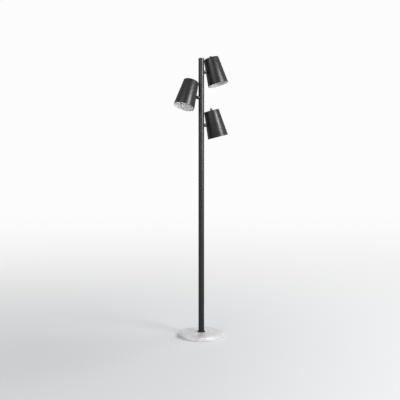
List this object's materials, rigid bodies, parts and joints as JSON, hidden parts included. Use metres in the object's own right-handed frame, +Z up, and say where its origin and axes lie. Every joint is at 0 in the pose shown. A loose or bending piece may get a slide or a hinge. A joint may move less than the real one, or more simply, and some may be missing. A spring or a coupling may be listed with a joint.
{
  "type": "tree floor lamp",
  "caption": "Tree floor lamp with cone shades on swivel knuckles along a straight pole, standing on a round marble base.",
  "frame": {"origin": "centre of the floor pad's underside, on the floor", "axes": "+Z up along the pole, +X toward the side where two shades stand out, -Y toward the front"},
  "size_m": [0.3039, 0.2581, 1.5749],
  "materials": {
    "black_metal": "satin",
    "shade_paint": "satin outside, white inside",
    "white_marble": "polished, faint grey veins",
    "floor_pad_foam": "matt",
    "zinc_steel": "zinc plated",
    "black_rubber": "matt",
    "black_plastic": "matt",
    "white_plastic": "matt",
    "lead_jacket": "matt",
    "shell_brass": "bright",
    "bulb_cap_metal": "nickel plated",
    "frosted_glass": "frosted"
  },
  "bodies": {
    "stand": {"marble_base": "white_marble", "floor_pad": "floor_pad_foam", "base_plate": "zinc_steel", "centre_bolt": "zinc_steel", "bolt_washer": "zinc_steel", "cord_gland": "black_rubber", "foot_collar": "black_metal", "lower_pole": "black_metal", "middle_pole": "black_metal", "upper_pole": "black_metal", "pole_inserts": "zinc_steel", "pole_cap": "black_metal", "terminal_block": "black_plastic", "stand_leads": "lead_jacket", "nipple_nuts": "zinc_steel", "top_saddle": "black_metal", "top_nipple": "zinc_steel", "middle_saddle": "black_metal", "middle_nipple": "zinc_steel", "lower_saddle": "black_metal", "lower_nipple": "zinc_steel"},
    "top_swivel": {"top_swivel_cup": "black_metal", "top_swivel_cap": "black_metal"},
    "top_head": {"top_ball_stem": "black_metal", "top_shade": "shade_paint", "top_head_fasteners": "black_metal", "top_socket_bracket": "zinc_steel", "top_switch_body": "black_plastic", "top_lampholder": "white_plastic", "top_screw_shell": "shell_brass", "top_bulb_glass": "frosted_glass", "top_bulb_cap": "bulb_cap_metal", "top_head_lead": "lead_jacket"},
    "top_knob": {"top_switch_knob": "black_plastic"},
    "middle_swivel": {"middle_swivel_cup": "black_metal", "middle_swivel_cap": "black_metal"},
    "middle_head": {"middle_ball_stem": "black_metal", "middle_shade": "shade_paint", "middle_head_fasteners": "black_metal", "middle_socket_bracket": "zinc_steel", "middle_switch_body": "black_plastic", "middle_lampholder": "white_plastic", "middle_screw_shell": "shell_brass", "middle_bulb_glass": "frosted_glass", "middle_bulb_cap": "bulb_cap_metal", "middle_head_lead": "lead_jacket"},
    "middle_knob": {"middle_switch_knob": "black_plastic"},
    "lower_swivel": {"lower_swivel_cup": "black_metal", "lower_swivel_cap": "black_metal"},
    "lower_head": {"lower_ball_stem": "black_metal", "lower_shade": "shade_paint", "lower_head_fasteners": "black_metal", "lower_socket_bracket": "zinc_steel", "lower_switch_body": "black_plastic", "lower_lampholder": "white_plastic", "lower_screw_shell": "shell_brass", "lower_bulb_glass": "frosted_glass", "lower_bulb_cap": "bulb_cap_metal", "lower_head_lead": "lead_jacket"},
    "lower_knob": {"lower_switch_knob": "black_plastic"}
  },
  "joints": [
    {"name": "top_swivel_turn", "type": "hinge", "parent": "stand", "child": "top_swivel", "pos_m": [0, 0, 1.4775], "axis": [0.9063, 0.4226, 0], "range_deg": [-160, 170]},
    {"name": "top_tilt", "type": "hinge", "parent": "top_swivel", "child": "top_head", "pos_m": [0.02371, 0.01106, 1.4775], "axis": [0.421, -0.9029, 0.0872], "range_deg": [-18.4, 4.6]},
    {"name": "top_switch_turn", "type": "hinge", "parent": "top_head", "child": "top_knob", "pos_m": [0.05543, 0.03392, 1.56108], "axis": [-0.2656, -0.0308, 0.9636], "continuous": true},
    {"name": "middle_swivel_turn", "type": "hinge", "parent": "stand", "child": "middle_swivel", "pos_m": [0, 0, 1.332], "axis": [-0.9063, -0.4226, 0], "range_deg": [-169, 161]},
    {"name": "middle_tilt", "type": "hinge", "parent": "middle_swivel", "child": "middle_head", "pos_m": [-0.02371, -0.01106, 1.332], "axis": [-0.4216, 0.9041, -0.0698], "range_deg": [-22.1, 0.9]},
    {"name": "middle_switch_turn", "type": "hinge", "parent": "middle_head", "child": "middle_knob", "pos_m": [-0.05609, -0.01952, 1.418], "axis": [0.2581, 0.1934, 0.9466], "continuous": true},
    {"name": "lower_swivel_turn", "type": "hinge", "parent": "stand", "child": "lower_swivel", "pos_m": [0, 0, 1.18], "axis": [0.9063, 0.4226, 0], "range_deg": [-164.8, 165.2]},
    {"name": "lower_tilt", "type": "hinge", "parent": "lower_swivel", "child": "lower_head", "pos_m": [0.02371, 0.01106, 1.18], "axis": [0.4226, -0.9063, 0.0035], "range_deg": [-19.5, 3.5]},
    {"name": "lower_switch_turn", "type": "hinge", "parent": "lower_head", "child": "lower_knob", "pos_m": [0.05693, 0.02687, 1.26462], "axis": [-0.2482, -0.112, 0.9622], "continuous": true}
  ]
}
